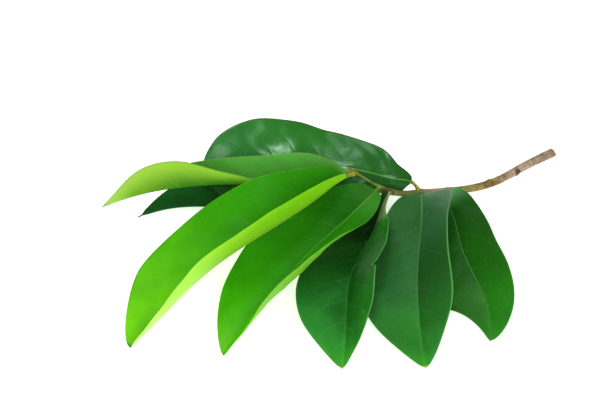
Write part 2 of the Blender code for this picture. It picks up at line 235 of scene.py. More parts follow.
def leafMarkings():
    tree, given, out = newGroup(
        "leaf markings",
        [("Pairs", number, 9.0), ("Lean", number, 0.12), ("Arch", number, 0.05), ("Length", number, 0.1),
         ("Half width", number, 0.02), ("Rib width", number, 0.0006), ("Margin width", number, 0.0006),
         ("Net cell", number, 0.0016)],
        [("Midrib", number), ("Veins", number), ("Net", number), ("Margin", number), ("Along", number),
         ("Reach", number), ("Half", number), ("Height", number)])
    place = addNode(tree, "ShaderNodeUVMap", uv_map="leaf").outputs[0]
    parts = addNode(tree, "ShaderNodeSeparateXYZ")
    tree.links.new(place, parts.inputs[0])
    t, v = parts.outputs[0], parts.outputs[1]
    reach = calc(tree, "ABSOLUTE", v)
    side = calc(tree, "SIGN", v)

    # distance from the midrib, and the rib's own half width, which narrows to the tip
    away = times(tree, reach, given["Half width"])
    thinFrom, thinnest = veining["ribNarrowing"]
    narrowing = remap(tree, t, 0.0, thinFrom, 1.0, thinnest, smoothly=False)
    narrowing = times(tree, given["Rib width"], narrowing)
    midrib = remap(tree, over(tree, away, narrowing), *veining["ribEdge"], 1.0, 0.0)
    feed(tree, out["Midrib"], midrib)

    # side veins leave the midrib slanting forwards and arch on towards the tip near the margin
    forward = times(tree, reach, given["Lean"])
    cube = calc(tree, "POWER", reach, 3.0)
    forward = plus(tree, forward, times(tree, cube, given["Arch"]))
    wander = minus(tree, noiseOn(tree, objectPoint(tree), veining["wanderScale"]), 0.5)
    wander = times(tree, wander, veining["wander"])
    phase = minus(tree, plus(tree, t, wander), forward)
    phase = times(tree, phase, given["Pairs"])
    phase = plus(tree, phase, times(tree, side, veining["shift"]))
    apart = calc(tree, "FRACT", plus(tree, phase, 100.5))  # 100 keeps it above 0, 0.5 centres the vein
    apart = calc(tree, "ABSOLUTE", minus(tree, apart, 0.5))
    apart = times(tree, apart, over(tree, given["Length"], given["Pairs"]))
    fading = remap(tree, reach, 0.05, 0.95, *veining["thickness"], smoothly=False)
    veins = remap(tree, over(tree, apart, fading), *veining["edge"], 1.0, 0.0)
    veins = times(tree, veins, remap(tree, reach, *veining["endAt"], 1.0, 0.0))
    feed(tree, out["Veins"], veins)

    # fine net of the smallest veins
    stretched = addNode(tree, "ShaderNodeCombineXYZ")
    feed(tree, stretched.inputs[0], times(tree, t, given["Length"]))
    feed(tree, stretched.inputs[1], times(tree, v, given["Half width"]))
    cells = addNode(tree, "ShaderNodeTexVoronoi", feature="DISTANCE_TO_EDGE")
    feed(tree, cells.inputs["Vector"], stretched.outputs[0])
    feed(tree, cells.inputs["Scale"], over(tree, 1.0, given["Net cell"]))
    net = remap(tree, cells.outputs[0], *veining["netEdge"], 1.0, 0.0)
    feed(tree, out["Net"], net)

    # thin margin line
    inward = times(tree, minus(tree, 1.0, reach), given["Half width"])
    margin = remap(tree, over(tree, inward, given["Margin width"]), *veining["marginEdge"], 1.0, 0.0)
    feed(tree, out["Margin"], margin)
    feed(tree, out["Along"], t)
    feed(tree, out["Reach"], reach)
    feed(tree, out["Half"], remap(tree, v, -veining["halfBlend"], veining["halfBlend"]))
    height = plus(tree, times(tree, veins, veining["height"]), times(tree, net, veining["netHeight"]))
    feed(tree, out["Height"], height)
    return tree


markings = leafMarkings()


def colourAlong(tree, value, stops):
    # a colour that changes smoothly through stops of (place, red, green, blue)
    node = addNode(tree, "ShaderNodeValToRGB")
    ramp = node.color_ramp
    ramp.interpolation = "EASE"
    while len(ramp.elements) < len(stops):
        ramp.elements.new(0.5)
    for element, (place, *colour) in zip(ramp.elements, stops):
        element.position = place
        element.color = seen(*colour)
    feed(tree, node.inputs[0], value)
    return node.outputs[0]


skin = dict(
    shine=(0.62, 1.0, 0.7, 1.0),  # greenish
    cloudEdge=(0.4, 0.68), underCloudShare=0.2, fleckScale=420.0, fleckEdge=(0.70, 0.76),
    netCell=1.7,  # millimetres
    netShare=0.04, underNetShare=0.6,  # below, it is a share of the veins' strength
    ribFadeFrom=0.6, ribLeft=0.3, tipMarkShare=0.8,
    stalkScale=900.0, stalkEdge=(0.35, 0.7), stalkBlend=0.012,
    roughScale=70.0, roughEdge=(0.3, 0.7), underRough=(0.5, 0.65), underGloss=0.1,
    peelScale=1500.0, peelShare=0.25, underHeight=-1.2, bumpStrength=0.3, bumpDepth=0.00012)
# What a leaf's look has where it doesn't say otherwise. marginShare is for the left and the right half, and
# so is stalkEnd, how far the stalk's colour runs up the blade.
commonLook = dict(
    cloudScale=45.0, cloudShare=0.3, veinShare=0.05, underVeins=0.25, flecks=0.2,
    under=[(0, 110, 165, 80), (1, 110, 165, 80)], underCloud=seen(90, 150, 60),
    underLines=seen(150, 190, 110), ribWidth=0.45, ribShare=0.6, marginWidth=0.5, marginShare=(0.3, 0.3),
    tipMarkFrom=0.985, stalkEnd=(0.0, 0.0))


def leafSkin(name, leaf, length, upper):
    look = {**commonLook, **leaf["look"]}
    material, tree, shader = newMaterial(name + ("_upper" if upper else "_underside"))
    marks = placeGroup(tree, markings, {
        "Pairs": float(leaf["pairs"]), "Lean": leaf["lean"], "Arch": leaf["arch"], "Length": length,
        "Half width": leaf["halfWidth"] * mm, "Rib width": look["ribWidth"] * mm,
        "Margin width": look["marginWidth"] * mm, "Net cell": skin["netCell"] * mm})
    point = objectPoint(tree)
    t, half = marks["Along"], marks["Half"]
    cloud = remap(tree, noiseOn(tree, point, look["cloudScale"], 3.0), *skin["cloudEdge"])
    if upper:
        lines, netShare, veinShare = look["lines"], skin["netShare"], look["veinShare"]
        left, right = [colourAlong(tree, t, look[side]) for side in ("left", "right")]
        blade = mixColour(tree, half, left, right)
        blade = mixColour(tree, times(tree, cloud, look["cloudShare"]), blade, look["cloud"])
        fleck = noiseOn(tree, point, skin["fleckScale"])
        fleck = remap(tree, fleck, *skin["fleckEdge"], 0.0, look["flecks"])
        blade = mixColour(tree, fleck, blade, lines)
    else:
        lines, veinShare = look["underLines"], look["underVeins"]
        netShare = skin["underNetShare"] * veinShare
        blade = colourAlong(tree, t, look["under"])
        blade = mixColour(tree, times(tree, cloud, skin["underCloudShare"]), blade, look["underCloud"])
        # painted shade: near the keel the underside takes its own colour along the blade, mostly darker,
        # where it faces down away from the light
        if "keel" in look:
            keelShadeShare = remap(tree, marks["Reach"], 0.0, look["keelReach"], 1.0, 0.0)
            blade = mixColour(tree, keelShadeShare, blade, colourAlong(tree, t, look["keel"]))
    blade = mixColour(tree, times(tree, marks["Net"], netShare), blade, lines)
    blade = mixColour(tree, times(tree, marks["Veins"], veinShare), blade, lines)
    marginShare = remap(tree, half, 0.0, 1.0, *look["marginShare"])
    blade = mixColour(tree, times(tree, marks["Margin"], marginShare), blade, look.get("margin", lines))
    ribShare = times(tree, marks["Midrib"], look["ribShare"])
    ribShare = times(tree, ribShare, remap(tree, t, skin["ribFadeFrom"], 1.0, 1.0, skin["ribLeft"]))
    blade = mixColour(tree, ribShare, blade, colourAlong(tree, t, look["rib"]))
    tipShare = remap(tree, t, look["tipMarkFrom"], 1.0, 0.0, skin["tipMarkShare"])
    blade = mixColour(tree, tipShare, blade, look["tipMark"])
    stalk = remap(tree, noiseOn(tree, point, skin["stalkScale"]), *skin["stalkEdge"])
    stalk = mixColour(tree, stalk, look["petiole"], look["petioleDark"])
    past = minus(tree, t, remap(tree, half, 0.0, 1.0, *look["stalkEnd"]))
    stalkShare = remap(tree, past, -skin["stalkBlend"], skin["stalkBlend"], 1.0, 0.0)
    blade = mixColour(tree, stalkShare, blade, stalk)
    feed(tree, shader.inputs["Base Color"], blade)
    rough = noiseOn(tree, point, skin["roughScale"], 3.0)
    rough = remap(tree, rough, *skin["roughEdge"], *(look["rough"] if upper else skin["underRough"]))
    feed(tree, shader.inputs["Roughness"], rough)
    shader.inputs["Specular IOR Level"].default_value = look["gloss"] if upper else skin["underGloss"]
    shader.inputs["Specular Tint"].default_value = skin["shine"]
    if not upper and "glow" in look:
        # the light that comes through a thin young blade from its upper side
        feed(tree, shader.inputs["Emission Color"], blade)
        shader.inputs["Emission Strength"].default_value = look["glow"]
    peel = times(tree, noiseOn(tree, point, skin["peelScale"]), skin["peelShare"])
    height = marks["Height"] if upper else times(tree, marks["Height"], skin["underHeight"])
    addBump(tree, shader, plus(tree, peel, height), skin["bumpStrength"], skin["bumpDepth"])
    return material


# Leaves
# spine: from the twig to the tip in millimetres. petiole: length of the stalk. joint: the share of the
# blade over which the stalk spreads into it. left and right: degrees that each half is raised above level
# at the midrib, from base to tip. Curl: degrees more from midrib to margin. Share: narrows a half. Notch: a
# nick in the margin, as place and reach along and millimetres of depth. widest, base and point shape the
# outline. ripple: the margin's waves, as (millimetres, waves, start). uneven: soft dents, as millimetres
# deep and wide, and the place along where they reach their full depth. Colours along a blade are (place,
# red, green, blue).

commonLeaf = dict(  # what a leaf has where it doesn't say otherwise
    stalkSize=1.0, joint=0.045, leftCurl=(0,), rightCurl=(0,), leftShare=(1,), rightShare=(1,),
    uneven=(0.12, 14.0, 0.1))
leaves = {
    "leaf_1_right": dict(
        spine=[(58.4, 40.3, 4.4), (58, 34, 7.5), (60, 17, 9.5), (62.2, 0, 8.5), (66, -12, 6.5),
               (70.8, -25, 3.5), (71.6, -46, 0.3)],
        petiole=2.6, halfWidth=17.5, widest=0.62, base=0.5, point=0.65, left=(60, 28, 38, 42, 20),
        right=(0, -10, -14, -10, 45), leftShare=(1, 0.99, 0.97, 0.96, 0.97, 0.98, 1),
        rightShare=(1, 1, 1, 1, 1, 1, 1.08, 1.11, 0.84, 0.7), pairs=9, lean=0.10, arch=0.06,
        ripple=[(0.35, 2.3, 0.2), (0.2, 4.1, 0.7)],
        look=dict(
            left=[(0, 96, 168, 98), (0.2, 20, 76, 4), (0.6, 28, 98, 10), (0.85, 40, 130, 22),
                  (1, 40, 134, 20)],
            right=[(0, 60, 118, 56), (0.3, 24, 86, 18), (0.58, 26, 88, 16), (0.76, 52, 116, 40),
                   (1, 56, 140, 44)],
            cloud=seen(20, 74, 12), lines=seen(110, 160, 96),
            rib=[(0, 120, 165, 110), (0.3, 80, 140, 76), (1, 80, 140, 70)], ribShare=0.7, ribWidth=0.34,
            margin=seen(70, 150, 50), marginShare=(0.5, 0.3), marginWidth=0.6, tipMark=seen(80, 130, 60),
            petiole=seen(104, 150, 84), petioleDark=seen(70, 120, 50), rough=(0.36, 0.5), gloss=0.08)),
    "leaf_2_front": dict(
        spine=[(46, 37.2, 6.6), (45.6, 30, 11), (44.5, 13, 13.5), (42.5, -3.6, 13), (41.2, -17.3, 10.5),
               (40.8, -29, 7.5), (41.3, -43.2, 3.5), (43, -60.6, 0.3)],
        petiole=2.6, joint=0.02, halfWidth=24, widest=0.66, base=0.5, point=0.75,
        left=(12, 46, 58, 58, 50, 34), right=(4, -8, -16, -10, 12, 24),
        leftShare=(1.2, 1.2, 1.08, 0.98, 0.99, 1.01, 1, 0.91, 0.78, 0.75), pairs=10, lean=0.11, arch=0.06,
        ripple=[(0.4, 2.1, 0.5), (0.2, 5.2, 0.1)],
        look=dict(
            # partly painted sheen: the left half is a greyish blue green from about 0.1 to 0.3 along, for
            # the haze of reflected light over its own green
            left=[(0, 40, 108, 50), (0.12, 48, 108, 58), (0.25, 54, 110, 66), (0.55, 28, 88, 28),
                  (0.78, 36, 106, 32), (0.9, 44, 132, 42), (1, 56, 160, 44)],
            right=[(0, 46, 106, 48), (0.25, 40, 94, 40), (0.6, 46, 114, 50), (0.85, 48, 134, 42),
                   (1, 56, 160, 44)],
            cloud=seen(28, 76, 34), lines=seen(120, 170, 110),
            rib=[(0, 120, 165, 90), (0.3, 84, 140, 76), (1, 80, 150, 70)], ribWidth=0.55,
            margin=seen(84, 156, 76), marginShare=(0.9, 0.3), marginWidth=1.1, tipMark=seen(190, 200, 50),
            petiole=seen(110, 146, 70), petioleDark=seen(84, 116, 44), rough=(0.4, 0.52), gloss=0.09)),
    "leaf_3_front_left": dict(
        spine=[(31.4, 34.9, 9.9), (29.3, 30.5, 10.3), (26.4, 22.5, 10), (23.5, 11.8, 9.5),
               (18.4, 0.5, 8.5), (13.3, -10.6, 7.5), (10.5, -22.2, 6), (9.6, -34.7, 4), (9, -46.9, 2),
               (7.5, -60.9, 0.3)],
        petiole=1.8, stalkSize=1.2, joint=0.02, halfWidth=24, widest=0.62, base=0.85, point=0.75,
        left=(46, 56, 52, 61, 53, 42), right=(-15, -18, -12, 12, 16, 18),
        leftShare=(0.8, 0.46, 0.72, 0.92, 1, 1, 0.97, 0.86, 0.7, 0.66),
        rightShare=(3.2, 1.15, 1, 0.97, 0.9, 0.91, 0.97, 1.02, 1.04, 1), pairs=9, lean=0.11, arch=0.06,
        ripple=[(0.4, 2.6, 0.3), (0.2, 4.6, 0.9)], uneven=(0.4, 8.0, 0.3), leftNotch=(0.562, 0.014, 3.6),
        look=dict(
            left=[(0, 140, 156, 100), (0.17, 126, 150, 90), (0.22, 38, 128, 32), (0.3, 18, 126, 8),
                  (0.45, 18, 122, 8), (0.6, 26, 112, 20), (0.85, 40, 132, 34), (1, 60, 165, 36)],
            # painted shade: the right half is coloured near black from its base to about 0.3 along, where
            # it lies in shade under leaf_4
            right=[(0, 6, 34, 2), (0.27, 5, 36, 0), (0.4, 22, 80, 14), (0.65, 32, 112, 34),
                   (0.88, 48, 145, 46), (1, 60, 165, 36)],
            cloud=seen(14, 70, 14), lines=seen(110, 180, 110), flecks=0.5, cloudShare=0.55, veinShare=0.1,
            rib=[(0, 110, 150, 80), (0.3, 60, 130, 50), (1, 80, 160, 70)], ribShare=0.45, ribWidth=0.4,
            margin=seen(90, 156, 76), marginShare=(0.9, 0.15), marginWidth=1.0,
            under=[(0, 150, 165, 110), (1, 120, 175, 90)], underCloud=seen(110, 150, 80),
            underLines=seen(160, 200, 130), tipMark=seen(150, 150, 50), stalkEnd=(0.11, -0.02),
            petiole=seen(140, 156, 96), petioleDark=seen(110, 130, 60), rough=(0.34, 0.46), gloss=0.15)),
    "leaf_4_left": dict(
        spine=[(26.6, 36, 11.7), (22.6, 28.8, 14), (13.5, 16, 15), (2.8, 3.5, 14.5), (-8.4, -8.9, 13),
               (-17.9, -20.4, 10), (-28, -31.3, 6.5), (-35.9, -42, 3), (-43.2, -53.9, 0.3)],
        petiole=2.6, halfWidth=27, widest=0.62, base=0.66, point=0.75, left=(-5, 30, 35, 40, 44),
        right=(36, 14, 2, 0, 5), leftCurl=(0, 12, 44, 46, 30),
        leftShare=(0.7, 0.68, 0.9, 1, 0.98, 0.92, 0.84, 0.75, 0.66),
        rightShare=(1, 1, 1, 1, 0.97, 0.93, 0.86, 0.78, 0.72), pairs=10, lean=0.10, arch=0.05,
        ripple=[(0.35, 2.2, 0.6), (0.15, 5.0, 0.2)], uneven=(0.35, 9.0, 0.2),
        look=dict(
            left=[(0, 60, 140, 40), (0.3, 46, 138, 16), (0.6, 58, 168, 10), (1, 90, 196, 14)],
            right=[(0, 60, 116, 42), (0.2, 24, 98, 2), (0.42, 42, 128, 6), (0.6, 52, 148, 6),
                   (0.78, 64, 166, 4), (1, 100, 192, 14)],
            cloud=seen(26, 108, 4), lines=seen(110, 180, 80), cloudShare=0.4, veinShare=0.09,
            rib=[(0, 150, 176, 90), (0.25, 96, 166, 66), (1, 80, 170, 40)], ribShare=0.75, ribWidth=0.5,
            margin=seen(80, 180, 60),
            under=[(0, 110, 180, 30), (0.6, 116, 186, 38), (0.85, 136, 200, 64), (1, 140, 204, 70)],
            underCloud=seen(100, 176, 40), glow=0.09, underLines=seen(170, 225, 110),
            tipMark=seen(110, 140, 80), petiole=seen(150, 160, 84), petioleDark=seen(110, 124, 40),
            rough=(0.34, 0.5), gloss=0.12)),
    "leaf_5_left": dict(
        spine=[(15.4, 38.2, 18.2), (9.9, 33.4, 20.8), (-1.4, 21.2, 22), (-15.8, 7.6, 21.5),
               (-29.9, -2.5, 19), (-45.5, -13.4, 15), (-58.4, -23.9, 10), (-71, -36.8, 4.5),
               (-83.5, -49.6, 0.3)],
        petiole=6, halfWidth=28.2, widest=0.66, base=0.62, point=0.54, left=(64, 72, 66, 69, 64),
        right=(55, 38, 10, -2, 5), rightShare=(1.02, 1.02, 1.02, 1, 1, 1, 1.0, 0.9, 0.7), pairs=10,
        lean=0.10, arch=0.05, ripple=[(0.4, 2.0, 0.1), (0.2, 4.4, 0.5)], uneven=(0.35, 10.0, 0.2),
        look=dict(
            left=[(0, 60, 150, 30), (0.5, 70, 170, 20), (1, 110, 205, 30)],
            right=[(0, 50, 146, 16), (0.2, 44, 142, 8), (0.45, 52, 156, 2), (0.62, 76, 182, 2),
                   (0.85, 110, 210, 2), (1, 122, 222, 14)],
            cloud=seen(40, 136, 6), lines=seen(130, 200, 70), cloudShare=0.4, veinShare=0.1,
            rib=[(0, 150, 190, 60), (0.3, 110, 190, 40), (1, 120, 200, 40)], ribShare=0.3, ribWidth=0.4,
            margin=seen(130, 205, 50), marginShare=(0.2, 0.3),
            under=[(0, 136, 210, 20), (0.35, 124, 198, 10), (0.55, 140, 200, 36), (0.72, 158, 212, 62),
                   (1, 172, 220, 104)],
            underCloud=seen(122, 190, 26), glow=0.42,
            # painted shade: the underside near the keel is coloured darker towards the base, where it faces
            # down
            keel=[(0, 112, 170, 20), (0.5, 116, 176, 36), (0.75, 168, 206, 120), (1, 180, 212, 140)],
            keelReach=0.35, underLines=seen(190, 235, 110), underVeins=0.1, tipMark=seen(60, 80, 40),
            petiole=seen(170, 176, 70), petioleDark=seen(136, 136, 40), rough=(0.34, 0.5), gloss=0.08)),
    "leaf_6_tip": dict(
        spine=[(12.8, 38.8, 19.6), (8.2, 37.2, 17.8), (-5.9, 34.8, 17), (-24.4, 35.1, 15),
               (-43, 36.6, 13.5), (-61.7, 36.9, 11.5), (-80.3, 35, 9.4), (-92, 32.6, 7.2),
               (-102.7, 29.3, 4.9)],
        petiole=1.2, joint=0.025, halfWidth=19, widest=0.6, base=0.5, point=0.75,
        left=(66, 50, 66, 92, 74), right=(50, 58, 56, 44, 10),
        leftShare=(1, 1, 1, 1, 1, 1, 1.04, 1.12, 1.1),
        rightShare=(1.3, 1.12, 1, 0.83, 0.74, 0.64, 0.57, 0.55, 0.55, 0.57, 0.6), pairs=9, lean=0.10,
        arch=0.05, ripple=[(0.3, 2.4, 0.4), (0.15, 4.8, 0.3)],
        look=dict(
            left=[(0, 90, 150, 70), (1, 80, 165, 40)],
            # partly painted sheen: the right half's green is greyed for the soft sheen it shows; the rest
            # is its own colour
            right=[(0, 96, 160, 74), (0.25, 90, 174, 66), (0.6, 84, 160, 52), (1, 80, 165, 50)],
            cloud=seen(64, 134, 50), lines=seen(130, 190, 90), rib=[(0, 150, 180, 90), (1, 110, 180, 60)],
            ribShare=0.3, ribWidth=0.4, margin=seen(130, 130, 84), marginShare=(0.5, 0.5),
            under=[(0, 80, 144, 6), (0.3, 90, 156, 10), (0.52, 146, 200, 46), (0.8, 154, 200, 62),
                   (1, 150, 196, 78)],
            underCloud=seen(120, 180, 34), glow=0.06,
            # painted shade: the underside is coloured darker over most of the half, most of all along the
            # keel, where it faces down
            keel=[(0, 50, 116, 0), (0.66, 46, 112, 0), (0.84, 92, 146, 16), (0.97, 148, 192, 74)],
            keelReach=0.95, underLines=seen(176, 220, 90), underVeins=0.08, tipMark=seen(150, 150, 100),
            tipMarkFrom=0.95, petiole=seen(150, 160, 60), petioleDark=seen(120, 120, 40),
            rough=(0.42, 0.56), gloss=0.06)),
    "leaf_7_back": dict(
        spine=[(45.6, 37.4, 6.6), (40.6, 38.9, 12.5), (34, 37.8, 15), (26.5, 39.2, 16),
               (16.4, 43.5, 15.2), (-1.2, 46.4, 15.5), (-19.9, 47.4, 16.5), (-38.7, 46.9, 15),
               (-56.3, 45.6, 12)],
        petiole=6.5, joint=0.015, halfWidth=22.5, widest=0.72, base=0.6, point=0.6,
        left=(-80, -78, -42, -26, -25, -25, -25, -24, -20), right=(40, 22, 14, 30, 45),
        leftShare=(2.1, 0.9, 0.86, 0.95, 1, 1, 1, 1, 1),
        rightShare=(0.75, 0.97, 0.94, 0.98, 1.01, 1, 0.98, 0.95, 1.02), pairs=9, lean=0.11, arch=0.06,
        ripple=[(0.45, 3.1, 0.1), (0.25, 5.7, 0.8)], uneven=(0.6, 9.0, 0.5),
        look=dict(
            # painted shade: the left half is coloured darker from about 0.3 to the tip, where it hangs down
            # behind the twig and under leaf_6
            left=[(0, 36, 98, 34), (0.3, 20, 72, 20), (0.6, 12, 56, 6), (1, 12, 56, 6)],
            right=[(0, 28, 86, 20), (0.3, 22, 94, 14), (0.5, 32, 116, 22), (1, 40, 116, 40)],
            cloud=seen(24, 98, 20), lines=seen(100, 170, 110), cloudShare=0.4, cloudScale=60.0,
            rib=[(0, 176, 200, 60), (0.12, 90, 150, 60), (1, 70, 140, 60)], ribShare=0.7, ribWidth=0.8,
            margin=seen(104, 92, 56), marginShare=(0.3, 0.8), marginWidth=0.7,
            under=[(0, 100, 160, 80), (1, 100, 160, 80)], underCloud=seen(80, 140, 60),
            underLines=seen(140, 190, 110), tipMark=seen(80, 110, 60), petiole=seen(176, 184, 76),
            petioleDark=seen(130, 110, 44), rough=(0.2, 0.29), gloss=0.52)),
    "leaf_8_under": dict(
        spine=[(29.4, 35.2, 10), (22.3, 38.4, 5), (3.6, 42.5, 2.4), (-20.1, 44.6, 1), (-40.4, 44.4, 0.38),
               (-61.1, 41.3, 0.3), (-74.8, 35.2, 0.3), (-86, 27.3, 0.3)],
        petiole=6, halfWidth=15.5, widest=0.5, base=0.8, point=1, left=(3, 3, 6, 14, 25),
        right=(3, 3, 3, 3, 0), leftShare=(1, 0.95, 0.92, 0.92, 0.95), pairs=9, lean=0.10, arch=0.06,
        ripple=[(0.15, 2.0, 0.2), (0.1, 4.0, 0.6)],
        look=dict(
            # painted shade: this leaf lies under the others and both halves are coloured dark for the shade
            # there, darkest at the base near the twig
            left=[(0, 6, 40, 4), (0.3, 10, 56, 8), (0.5, 16, 72, 18), (0.8, 24, 88, 30), (1, 30, 90, 40)],
            right=[(0, 6, 40, 4), (0.3, 10, 56, 8), (0.5, 14, 66, 14), (1, 24, 88, 30)],
            cloud=seen(10, 52, 10), lines=seen(60, 120, 60), rib=[(0, 60, 110, 40), (1, 40, 100, 40)],
            ribShare=0.3, under=[(0, 90, 140, 70), (1, 90, 140, 70)], underCloud=seen(70, 120, 50),
            underLines=seen(120, 170, 100), tipMark=seen(60, 80, 50), petiole=seen(110, 130, 60),
            petioleDark=seen(80, 90, 40), rough=(0.44, 0.54), gloss=0.03)),
}

blade = dict(
    thickness=0.34, margin=0.24,  # millimetres, at the middle of a half and at its edge
    stations=190, columns=28, columnPower=1.5,  # rows along the blade, and columns in each half
    fold=0.8,  # how far from the midrib the fold is rounded
    ribRadius=(1.0, 0.3), ribDepth=(0.95, 0.14),  # the rib under the blade, at the base and at the tip
    groove=0.14, grooveShape=(0.9, 0.35, 0.7),  # its breadth, and the breadth and height of the rib in it
    pillow=0.12,  # between veins, full this far from the rib and on halves this wide:
    pillowFrom=4.0, pillowFull=12.0,
    veinDepth=0.04, veinRidge=0.10, veinWidth=0.55, leastBelow=0.06)
petiole = dict(
    start=-0.4,  # where its foot begins on the spine, inside the twig
    stations=30, radius=0.82, neck=0.62, neckReach=0.9, swelling=1.12, swellingAt=2.0, swellingReach=1.1,
    tip=0.3, channel=0.16, channelWidth=0.45)


def halfWidth(leaf, t):
    t = np.clip(t, 0, 1)
    widest = leaf["widest"]
    rising = np.sin(0.5 * math.pi * np.clip(t / widest, 0, 1)) ** leaf["base"]
    falling = np.cos(0.5 * math.pi * np.clip((t - widest) / (1 - widest), 0, 1)) ** leaf["point"]
    return np.maximum(leaf["halfWidth"] * mm * np.where(t < widest, rising, falling), 0.25 * mm)


def veinPhase(leaf, t, v):
    reach = abs(v)
    forward = leaf["lean"] * reach + leaf["arch"] * reach**3
    return leaf["pairs"] * (t[:, None] - forward) + veining["shift"] * np.sign(v)


def bladeSection(leaf, t, q):
    # middle surface of the blade at t from base to tip, for signed columns q from -1 to 1
    at, length, _ = curveThrough(leaf["spine"])
    stalk = leaf["petiole"] * mm
    centre, _, normal, right = framesOn(at, stalk + t * (length - stalk))
    half = halfWidth(leaf, t)
    v = np.sign(q) * abs(q) ** blade["columnPower"]
    middle = len(q) // 2
    folds = {side: np.radians(along(leaf[side], t)) for side in ("left", "right")}
    out = np.zeros((len(t), len(q)))
    rise = np.zeros((len(t), len(q)))
    for sign, side, other in ((-1, "left", "right"), (1, "right", "left")):
        curl = np.radians(along(leaf[side + "Curl"], t))
        share = along(leaf[side + "Share"], t)
        if side + "Notch" in leaf:
            place, wide, deep = leaf[side + "Notch"]
            share = share - deep * mm / half * np.exp(-(((t - place) / wide) ** 2))
        level = (folds[side] - folds[other]) / 2  # the slope that both halves share on the midrib
        columns = range(middle + sign, len(q) if sign > 0 else -1, sign)
        for j in columns:
            mid = abs(v[j] + v[j - sign]) / 2
            away = mid * half
            blend = np.exp(-(away / (blade["fold"] * mm)) ** 2)
            slope = folds[side] + curl * mid
            slope = slope + (level - slope) * blend
            step = abs(v[j] - v[j - sign]) * half * share
            out[:, j] = out[:, j - sign] + sign * np.cos(slope) * step
            rise[:, j] = rise[:, j - sign] + np.sin(slope) * step
        for size, waves, start in leaf["ripple"]:
            shift = 0.0 if sign < 0 else 0.37  # so that the two margins don't wave together
            wave = size * mm * np.sin(2 * math.pi * (waves * t + start + shift))
            wave = wave * ease(0.02, 0.2, t) * ease(1.0, 0.9, t)  # level at the base and the tip
            here = (v * sign) > 0
            rise[:, here] += wave[:, None] * abs(v[here]) ** 2
    places = centre[:, None] + out[..., None] * right[:, None] + rise[..., None] * normal[:, None]
    return places, v, half


def surfaceNormals(places):
    across = np.gradient(places, axis=1)
    ahead = np.gradient(places, axis=0)
    return unit(np.cross(across, ahead) + 1e-15)


def leafRings(leaf):
    at, length, _ = curveThrough(leaf["spine"])
    stalk = leaf["petiole"] * mm
    share = np.linspace(0, 1, blade["stations"] + 1)[1:]
    t = 0.6 * share + 0.2 * (1 - np.cos(math.pi * share))  # rows lie closer at the base and the tip
    q = np.linspace(-1, 1, 2 * blade["columns"] + 1)
    places, v, half = bladeSection(leaf, t, q)
    normals = surfaceNormals(places)

    # the blade is a little uneven all over, more so where the light shows it in patches
    deep, wide, full = leaf["uneven"]
    for i in range(len(t)):
        for j in range(len(q)):
            bump = noise.noise(Vector(places[i, j] / (wide * mm)))
            offRib = min(1, abs(v[j]) * 4)
            places[i, j] += normals[i, j] * bump * deep * mm * offRib * ease(0.0, full, t[i])
    away = abs(v)[None] * half[:, None] / mm
    thick = blade["thickness"] + (blade["margin"] - blade["thickness"]) * ease(0.6, 1.0, abs(v))[None]

    # veins, which end before the midrib, the margin, the base and the tip
    phase = veinPhase(leaf, t, v)
    apart = abs((phase + 0.5) % 1 - 0.5) * (length - stalk) / mm / leaf["pairs"]
    strong = ease(0.98, 0.8, abs(v))[None] * ease(0.0, 0.06, t)[:, None] * ease(1.0, 0.93, t)[:, None]
    strong = strong * ease(0.3, 1.5, away)
    sunk = np.exp(-(apart / blade["veinWidth"]) ** 2) * strong
    swell = (0.5 - 0.5 * np.cos(2 * math.pi * phase)) * strong * ease(0.0, blade["pillowFrom"], away)
    swell = swell * np.minimum(1, half[:, None] / (blade["pillowFull"] * mm))
    ribRadius = np.interp(t, [0, 1], blade["ribRadius"])[:, None]
    ribDepth = np.interp(t, [0, 1], blade["ribDepth"])[:, None]
    rib = ribDepth * np.clip(1 - (away / ribRadius) ** 2, 0, 1) ** 0.75
    broad, narrow, filled = blade["grooveShape"]
    groove = blade["groove"] * (np.exp(-(away / broad) ** 2) - filled * np.exp(-(away / narrow) ** 2))
    groove = groove * ease(1.0, 0.6, t)[:, None]
    upperRise = thick / 2 + blade["pillow"] * swell - blade["veinDepth"] * sunk - groove
    lowerRise = thick / 2 - blade["pillow"] * swell + blade["veinRidge"] * sunk + rib
    upper = places + normals * upperRise[..., None] * mm
    lower = places - normals * np.maximum(lowerRise, blade["leastBelow"])[..., None] * mm
    bladeRings = np.concatenate([upper, lower[:, ::-1]], axis=1)

    # the petiole is a ring of the same points, drawn round, with a shallow channel along its upper side
    count = petiole["stations"]
    foot = np.linspace(petiole["start"] * mm, stalk, count)
    distance = np.concatenate([foot, stalk + t * (length - stalk)])
    centre, _, normal, right = framesOn(at, distance)
    spread = math.radians(4)  # keeps the upper and the lower edge points apart
    turn = math.pi / 2 - (math.pi / 2 - spread) * q
    angle = np.concatenate([turn, -turn[::-1]])
    start = (foot - foot[0]) / mm
    radius = petiole["radius"]
    swollen = np.exp(-((start - petiole["swellingAt"]) / petiole["swellingReach"]) ** 2)
    size = radius + (petiole["swelling"] - radius) * swollen
    size = size - (radius - petiole["neck"]) * np.exp(-(start / petiole["neckReach"]) ** 2)
    size = size * (1 + (leaf["stalkSize"] - 1) * ease(0.5, 2.5, start))
    size = np.concatenate([size, radius + (petiole["tip"] - radius) * ease(0.1, 0.9, t)]) * mm
    outward = np.cos(angle)[:, None] * right[:, None] + np.sin(angle)[:, None] * normal[:, None]
    dent = 1 - petiole["channel"] * np.exp(-((angle - math.pi / 2) / petiole["channelWidth"]) ** 2)
    rings = centre[:, None] + (size[:, None] * dent[None])[..., None] * outward
    blend = ease(0.0, leaf["joint"], t) * ease(0.3 * mm, 2.0 * mm, half)
    rings[count:] += (bladeRings - rings[count:]) * blend[:, None, None]
    mapAlong = np.concatenate([(foot - stalk) / (length - stalk), t])
    rings[:, :, 2] = np.maximum(rings[:, :, 2], lowest)
    return rings, mapAlong, np.concatenate([v, v[::-1], v[:1]]), length - stalk


